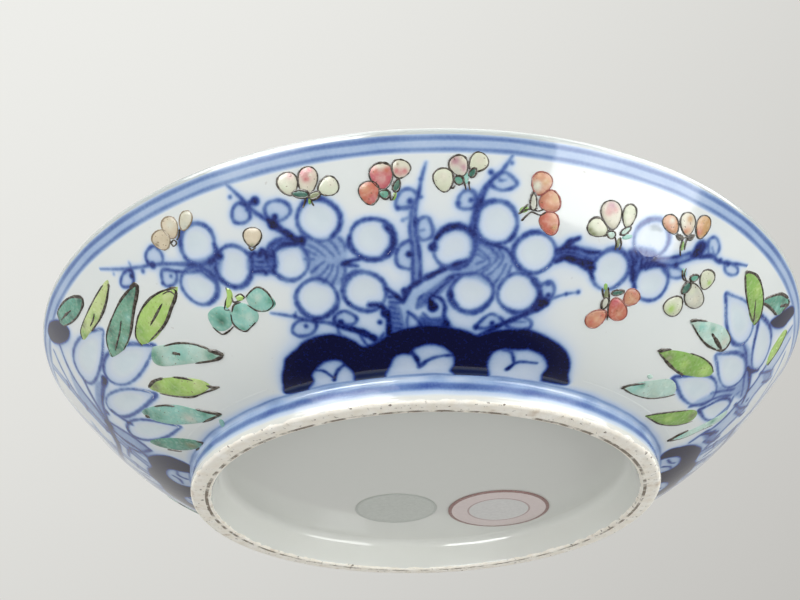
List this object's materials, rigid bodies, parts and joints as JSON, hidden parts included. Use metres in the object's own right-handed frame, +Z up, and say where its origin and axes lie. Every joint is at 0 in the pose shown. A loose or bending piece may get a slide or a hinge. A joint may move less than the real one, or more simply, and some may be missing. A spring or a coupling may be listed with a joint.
{
  "type": "chinese porcelain dish",
  "caption": "Shallow round porcelain dish on a foot ring, its wall pierced with openings filled with clear glaze.",
  "frame": {"origin": "on the dish's axis in its resting plane", "axes": "+Z up out of the dish's mouth; -Y towards the middle of one pierced tree"},
  "size_m": [0.1514, 0.1514, 0.0273],
  "materials": {
    "porcelain": "clear pale blue-white gloss glaze over white clay, bare cream clay on the resting face",
    "clear_glaze": "translucent pale celadon glaze, glossy",
    "paper": "matt white paper",
    "film": "thin translucent film"
  },
  "bodies": {
    "root": {"porcelain_body": "porcelain", "round_window_1_1": "clear_glaze", "round_window_1_2": "clear_glaze", "round_window_1_3": "clear_glaze", "round_window_1_4": "clear_glaze", "round_window_1_5": "clear_glaze", "round_window_1_6": "clear_glaze", "round_window_1_7": "clear_glaze", "round_window_1_8": "clear_glaze", "round_window_1_9": "clear_glaze", "round_window_1_10": "clear_glaze", "round_window_1_11": "clear_glaze", "round_window_1_12": "clear_glaze", "round_window_1_13": "clear_glaze", "round_window_1_14": "clear_glaze", "round_window_1_15": "clear_glaze", "round_window_1_16": "clear_glaze", "round_window_2_1": "clear_glaze", "round_window_2_2": "clear_glaze", "round_window_2_3": "clear_glaze", "round_window_2_4": "clear_glaze", "round_window_2_5": "clear_glaze", "round_window_2_6": "clear_glaze", "round_window_2_7": "clear_glaze", "round_window_2_8": "clear_glaze", "round_window_2_9": "clear_glaze", "round_window_2_10": "clear_glaze", "round_window_2_11": "clear_glaze", "round_window_2_12": "clear_glaze", "round_window_2_13": "clear_glaze", "round_window_2_14": "clear_glaze", "round_window_2_15": "clear_glaze", "round_window_2_16": "clear_glaze", "leaf_window_1_1": "clear_glaze", "leaf_window_1_2": "clear_glaze", "leaf_window_1_3": "clear_glaze", "leaf_window_1_4": "clear_glaze", "leaf_window_1_5": "clear_glaze", "leaf_window_1_6": "clear_glaze", "leaf_window_1_7": "clear_glaze", "leaf_window_1_8": "clear_glaze", "leaf_window_1_9": "clear_glaze", "leaf_window_2_1": "clear_glaze", "leaf_window_2_2": "clear_glaze", "leaf_window_2_3": "clear_glaze", "leaf_window_2_4": "clear_glaze", "leaf_window_2_5": "clear_glaze", "leaf_window_2_6": "clear_glaze", "leaf_window_2_7": "clear_glaze", "leaf_window_2_8": "clear_glaze", "leaf_window_2_9": "clear_glaze", "paper_label": "paper", "clear_label": "film"}
  },
  "joints": []
}
